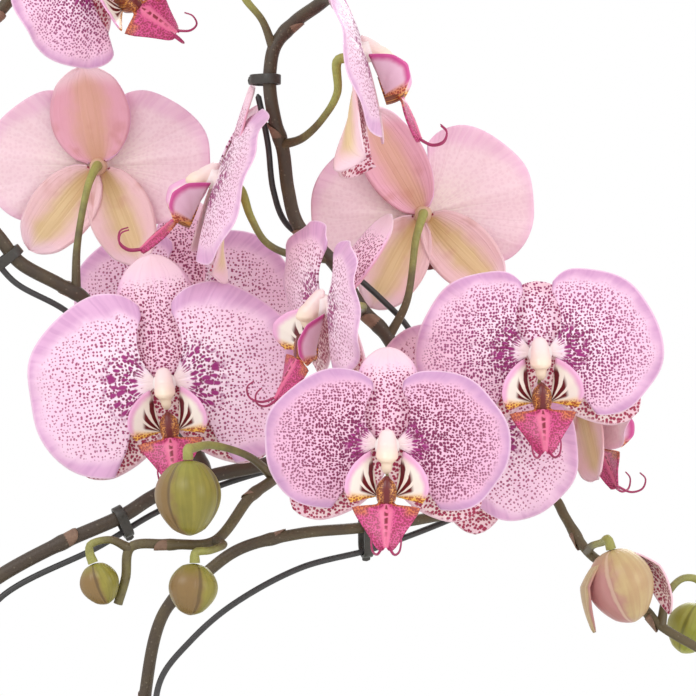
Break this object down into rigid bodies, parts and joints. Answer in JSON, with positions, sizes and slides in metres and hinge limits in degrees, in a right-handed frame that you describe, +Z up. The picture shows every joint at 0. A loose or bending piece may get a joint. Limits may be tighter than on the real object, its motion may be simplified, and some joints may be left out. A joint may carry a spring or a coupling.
{
  "type": "potted moth orchid",
  "caption": "Potted moth orchid with arching flower spikes tied to bent wire stakes, spotted lilac-pink blooms and buds, strap leaves, aerial roots, bark and a plain white pot.",
  "frame": {"origin": "middle of the pot's flat base", "axes": "+Z up along the pot's axis, the pictured side of the blooms faces -Y, +X to the viewer's right"},
  "size_m": [0.4839, 0.2453, 0.6612],
  "materials": {
    "tepal": "soft satin petal, spotted",
    "lip": "waxy, magenta to cream, striped",
    "bud": "waxy yellow-green",
    "stem": "satin dark olive brown",
    "wire": "dark coated wire",
    "clip": "dark green plastic",
    "leaf": "leathery satin green",
    "crown": "matt green with dry scales",
    "root": "matt silver green",
    "bark": "rough brown chips",
    "pot": "plain white glaze"
  },
  "bodies": {
    "root": {"bloom_a_tepals": "tepal", "bloom_a_lip": "lip", "bloom_b_tepals": "tepal", "bloom_b_lip": "lip", "bloom_c_tepals": "tepal", "bloom_c_lip": "lip", "bloom_d_tepals": "tepal", "bloom_d_lip": "lip", "bloom_e_tepals": "tepal", "bloom_e_lip": "lip", "bloom_f_tepals": "tepal", "bloom_f_lip": "lip", "bloom_g_tepals": "tepal", "bloom_g_lip": "lip", "bloom_h_tepals": "tepal", "bloom_h_lip": "lip", "bloom_i_tepals": "tepal", "bloom_i_lip": "lip", "bloom_j_tepals": "tepal", "bloom_j_lip": "lip", "bloom_k_tepals": "tepal", "bloom_k_lip": "lip", "bloom_l_tepals": "tepal", "bloom_l_lip": "lip", "bud_large": "bud", "bud_middle": "bud", "bud_small": "bud", "bud_opening": "bud", "bud_edge": "bud", "bud_end_right": "bud", "bud_upper": "bud", "bud_end_upper": "bud", "bud_end_left": "bud", "spike_right": "stem", "spike_left": "stem", "stake_right": "wire", "stake_left": "wire", "stake_branch": "wire", "clip_right": "clip", "clip_left": "clip", "clip_upper": "clip", "clip_branch": "clip", "clip_fork": "clip", "leaf_1": "leaf", "leaf_2": "leaf", "leaf_3": "leaf", "leaf_4": "leaf", "leaf_5": "leaf", "crown": "crown", "aerial_roots": "root", "bark": "bark", "pot": "pot"}
  },
  "joints": []
}
